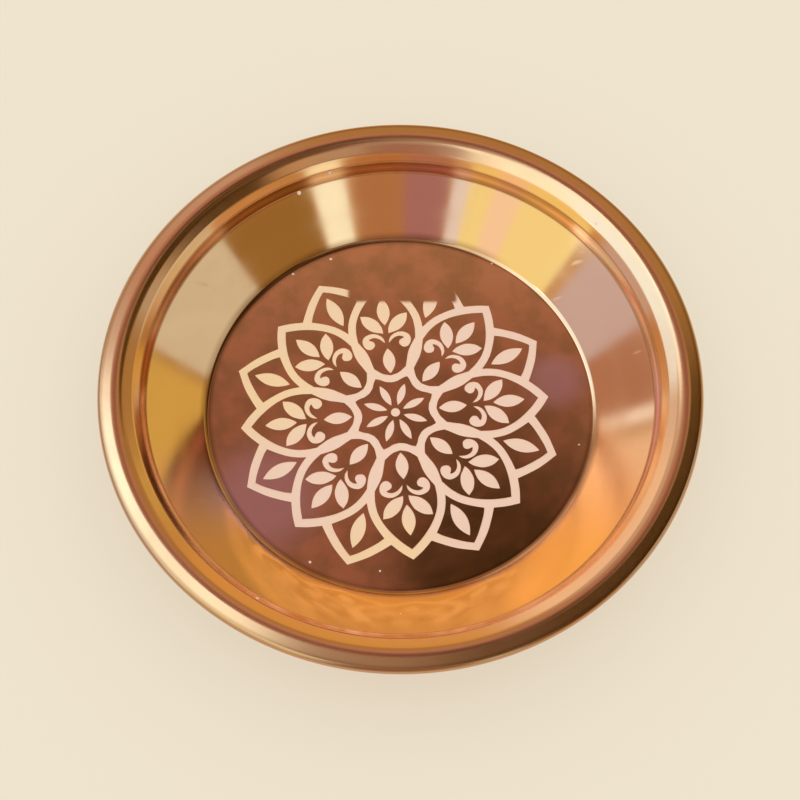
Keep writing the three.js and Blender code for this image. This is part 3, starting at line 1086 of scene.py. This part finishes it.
# What stands round the plate and shows in the metal, as soft-edged cards. Each has a name, then
# in degrees: the azimuth of its middle from +X towards +Y, its half width, its lowest and highest
# elevation, its rise per degree of azimuth and its edge's width; then its colour.
CARDS = (
    ("Brown wall", 70, 60, -5, 60, 0, 12, (0.40, 0.25, 0.08)),
    ("Orange wall", 85, 25, -5, 32, 0, 8, (0.68, 0.40, 0.10)),
    ("Beige wall", 123, 21, -5, 28, 0, 6, (0.92, 0.76, 0.52)),
    ("Grey beige", 122, 18, 30, 62, 0, 8, (0.58, 0.48, 0.36)),
    ("Olive cloth", 38, 20, -5, 22, 0, 6, (0.66, 0.52, 0.13)),
    ("Dark corner", 5, 44, 42, 85, 0, 5, (0.07, 0.04, 0.01)),
    ("Dark ceiling end", 320, 55, 66, 86, 0, 6, (0.15, 0.09, 0.04)),
    ("Bright ceiling", 190, 53, 43, 79, 0, 5, (1.20, 1.35, 1.10)),
    ("Bright ceiling end", 142, 8, 53, 76, 0, 3, (1.50, 1.80, 1.70)),
    ("Window", 176, 28, 25, 63, 0.2, 3, (1.00, 1.35, 1.40)),
    ("Window sill", 162, 24, 21, 29, 0.1, 4, (0.75, 0.70, 0.62)),
    ("Red brown cloth", 160, 13, 9, 20, 0.1, 4, (0.46, 0.26, 0.16)),
    ("Small lamp", 149, 2, 7, 13, 0, 3, (1.00, 1.05, 0.95)),
    ("Pink wall", 184, 13, 8, 28, 0.2, 4, (0.60, 0.58, 0.62)),
    ("Yellow wall", 224, 22, 14, 44, 0, 2, (0.96, 1.00, 0.47)),
    ("Pink stripe", 231, 5, 22, 42, 0, 3, (0.98, 0.90, 0.68)),
    ("Lamp", 201, 3, 31, 42, 0, 2, (1.80, 2.30, 2.30)),
    ("White post", 248, 3, 28, 66, 0, 2, (0.82, 0.92, 0.98)),
    ("Violet cloth", 261, 9, 26, 42, 0, 3, (0.40, 0.22, 0.23)),
    ("Brown door", 279, 10, 26, 42, 0, 3, (0.45, 0.25, 0.11)),
    ("Grey ceiling", 272, 28, 52, 80, 0, 6, (0.40, 0.30, 0.22)),
    ("Brown beam", 272, 18, 42, 60, 0, 4, (0.34, 0.19, 0.12)),
    ("White strip", 297, 6, 18, 42, 0, 2, (1.05, 1.30, 1.10)),
    ("Dark cloth", 322, 18, 26, 44, 0, 3, (0.32, 0.20, 0.05)),
    ("Dark shelf", 303, 18, 42, 49, 0, 4, (0.24, 0.14, 0.06)),
    ("Beige wall above", 296, 12, 50, 58, -0.4, 4, (0.50, 0.42, 0.28)),
    ("Pale card", 357, 19, 12, 38, 0, 1.5, (0.68, 0.74, 0.58)),
    ("Warm ceiling", 96, 30, 46, 64, 0, 5, (0.46, 0.26, 0.15)),
    ("Brown ceiling", 94, 28, 61, 82, 0, 6, (0.30, 0.14, 0.09)),
    ("Dark ceiling", 74, 16, 67, 82, 0, 8, (0.06, 0.03, 0.01)),
)

# The room behind the cards, its ceiling, and the elevations between which one turns to the other
ROOM_COLOUR = (0.60, 0.42, 0.20)
CEILING_COLOUR = (0.32, 0.22, 0.13)
ROOM_TOP = 45.0
CEILING_LOW = 80.0

# The elevation at which the room meets the far floor, and half of the soft edge there
HORIZON = 3.0
HORIZON_EDGE = 1.0

# The studio floor: radii of its inner rings, its gap to the plate, and the share of its colour
# that it gives off itself, which weakens the shadow
FLOOR_RING_RADII = (0.05, 0.2, 0.8, 3.0)
FLOOR_GAP = 0.05 * MM
FLOOR_GLOW = 0.6


def card_group():
    """1 inside a card, 0 outside: the azimuth's distance to the middle and the two elevations."""
    tree, t, given, out = new_group(
        "Light card",
        {"Azimuth": 0.0, "Elevation": 0.0, "Middle": 0.0, "Half width": 10.0, "Low": 0.0,
         "High": 50.0, "Slant": 0.0, "Edge": 3.0},
        ["Mask"],
    )
    half_edge = t.times(given["Edge"], 0.5)
    off = t.math("WRAP", t.minus(given["Azimuth"], given["Middle"]), 180.0, -180.0)
    level = t.minus(given["Elevation"], t.times(given["Slant"], off))

    def turning(value, limit, before, after):
        low, high = t.minus(given[limit], half_edge), t.plus(given[limit], half_edge)
        return t.ramp(value, low, high, before, after)

    across = turning(t.math("ABSOLUTE", off), "Half width", 1.0, 0.0)
    over, under = turning(level, "Low", 0.0, 1.0), turning(level, "High", 1.0, 0.0)
    t.put(out["Mask"], t.times(across, t.times(over, under)))
    return tree


def make_world(stage):
    """Plain soft light on everything, and the cards where the metal looks."""
    world = bpy.data.worlds.new("Studio")
    bpy.context.scene.world = world
    world.use_nodes = True
    world.cycles.sampling_method = "NONE"
    world.node_tree.nodes.clear()
    t = Tree(world.node_tree)
    direction = t.add("ShaderNodeTexCoord").outputs["Generated"]
    x, y, z = t.add("ShaderNodeSeparateXYZ", {0: direction}).outputs
    azimuth = t.math("DEGREES", t.math("ARCTAN2", y, x))
    elevation = t.math("DEGREES", t.math("ARCSINE", z))
    seen = t.mix(t.ramp(elevation, ROOM_TOP, CEILING_LOW), ROOM_COLOUR, CEILING_COLOUR)
    card = card_group()
    for name, middle, half_width, low, high, slant, edge, colour in CARDS:
        mask = t.group(card, Azimuth=azimuth, Elevation=elevation, Middle=middle,
                       Half_width=half_width, Low=low, High=high, Slant=slant, Edge=edge)["Mask"]
        mask.node.label = name
        seen = t.mix(mask, seen, colour)
    over = t.ramp(elevation, HORIZON - HORIZON_EDGE, HORIZON + HORIZON_EDGE)
    seen = t.mix(over, stage.floor_colour, seen)
    path = t.add("ShaderNodeLightPath").outputs
    looks = t.math("MAXIMUM", path["Is Camera Ray"],
                   t.math("MAXIMUM", path["Is Glossy Ray"], path["Is Transmission Ray"]))
    plain = t.add("ShaderNodeBackground", {"Color": (1, 1, 1, 1), "Strength": 1.0})
    shown = t.add("ShaderNodeBackground", {"Color": seen, "Strength": 1.0})
    mixed = t.add("ShaderNodeMixShader", {0: looks, 1: plain.outputs[0], 2: shown.outputs[0]})
    t.put(t.add("ShaderNodeOutputWorld").inputs["Surface"], mixed.outputs[0])


def floor_material(stage):
    """A matt floor with a faint grain that gives off a share of its own colour."""
    material, t, shader = new_material("Studio floor")
    grain = t.add("ShaderNodeTexNoise", {"Vector": t.where, "Scale": 900.0, "Detail": 2.0})
    darker = tuple(channel * 0.97 for channel in stage.floor_colour)
    colour = t.mix(t.ramp(grain.outputs[0], 0.3, 0.7, 0.985, 1.0), darker, stage.floor_colour)
    t.put(shader["Base Color"], t.mix(FLOOR_GLOW, colour, (0.0, 0.0, 0.0)))
    t.put(shader["Emission Color"], colour)
    t.put(shader["Emission Strength"], FLOOR_GLOW)
    t.put(shader["Roughness"], 1.0)
    t.put(shader["Specular IOR Level"], 0.0)
    return material


def make_floor(stage):
    """The studio floor: rings of a flat disc just under the plate."""
    radii = np.array([*FLOOR_RING_RADII, stage.floor_radius])
    section = np.stack([radii, np.full(len(radii), -FLOOR_GAP)], 1)
    vertices, quads, normals = lathe([(section, np.tile((0.0, 1.0), (len(radii), 1)))], 0)
    centre = len(vertices)
    first = np.arange(TURN_STEPS)
    fan = np.stack([first, np.roll(first, -1), np.full(TURN_STEPS, centre)], 1)
    vertices = np.concatenate([vertices, [[0, 0, -FLOOR_GAP]]])
    material = floor_material(stage)
    floor = make_mesh("studio_floor", vertices, [(quads, normals, 0), (fan, UP, 0)], [material])


def make_camera(stage):
    """The camera on its arc over -Y, turned a little about its own axis."""
    data = bpy.data.cameras.new("Camera")
    camera = bpy.data.objects.new("Camera", data)
    bpy.context.scene.collection.objects.link(camera)
    data.sensor_width = 36.0
    data.lens = stage.lens
    data.clip_start, data.clip_end = 0.01, 50.0
    e = stage.elevation
    back = Vector((0.0, -math.cos(e), math.sin(e)))
    aimed = back.to_track_quat("Z", "Y").to_matrix() @ Matrix.Rotation(stage.roll, 3, "Z")
    camera.matrix_world = Matrix.Translation(Vector(stage.aim) + back * stage.distance) @ aimed.to_4x4()
    bpy.context.scene.camera = camera


# Operators, panel and registration


class PLATE_OT_dish(bpy.types.Operator):
    """Make the copper sheet: floor with its ornament, wall, riser and rolled rim"""

    bl_idname = "plate.dish"
    bl_label = "Dish"

    def execute(self, context):
        scene = context.scene
        finish, sizes = scene.plate_finish, scene.plate_sizes
        materials = [
            polished_material(finish, sizes),
            etched_material(finish, sizes),
            back_material(finish),
        ]
        piece = dish_mesh(sizes, materials)
        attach(piece, "root")
        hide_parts("dish")
        return {"FINISHED"}


class PLATE_OT_wire(bpy.types.Operator):
    """Make the steel wire that lies in the rim's curl"""

    bl_idname = "plate.wire"
    bl_label = "Rim wire"

    def execute(self, context):
        scene = context.scene
        piece = wire_mesh(scene.plate_sizes, wire_material(scene.plate_finish))
        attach(piece, "root")
        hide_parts("rim_wire")
        return {"FINISHED"}


class PLATE_OT_stage(bpy.types.Operator):
    """Make the studio: floor, surroundings, light and camera"""

    bl_idname = "plate.stage"
    bl_label = "Studio"

    def execute(self, context):
        stage = context.scene.plate_stage
        make_floor(stage)
        make_world(stage)
        make_camera(stage)
        context.scene.view_settings.view_transform = "Standard"
        return {"FINISHED"}


class PLATE_PT_panel(bpy.types.Panel):
    """Sizes, finish and studio of the plate"""

    bl_idname = "PLATE_PT_panel"
    bl_label = "Copper Puja Plate"
    bl_space_type = "VIEW_3D"
    bl_region_type = "UI"
    bl_category = "Puja Plate"

    def draw(self, context):
        for operator in (PLATE_OT_dish, PLATE_OT_wire, PLATE_OT_stage):
            self.layout.operator(operator.bl_idname)
        for settings in (context.scene.plate_sizes, context.scene.plate_finish,
                         context.scene.plate_stage):
            box = self.layout.box()
            for name in settings.__annotations__:
                box.prop(settings, name)


CLASSES = (PlateSizes, PlateFinish, PlateStage, PLATE_OT_dish, PLATE_OT_wire, PLATE_OT_stage,
           PLATE_PT_panel)
SETTINGS = {"plate_sizes": PlateSizes, "plate_finish": PlateFinish, "plate_stage": PlateStage}


def register():
    for made in CLASSES:
        bpy.utils.register_class(made)
    for name, group in SETTINGS.items():
        setattr(bpy.types.Scene, name, bpy.props.PointerProperty(type=group))


def unregister():
    for name in SETTINGS:
        delattr(bpy.types.Scene, name)
    for made in reversed(CLASSES):
        bpy.utils.unregister_class(made)


def main():
    register()
    bpy.ops.plate.dish()
    bpy.ops.plate.wire()
    bpy.ops.plate.stage()


if __name__ == "__main__":
    main()
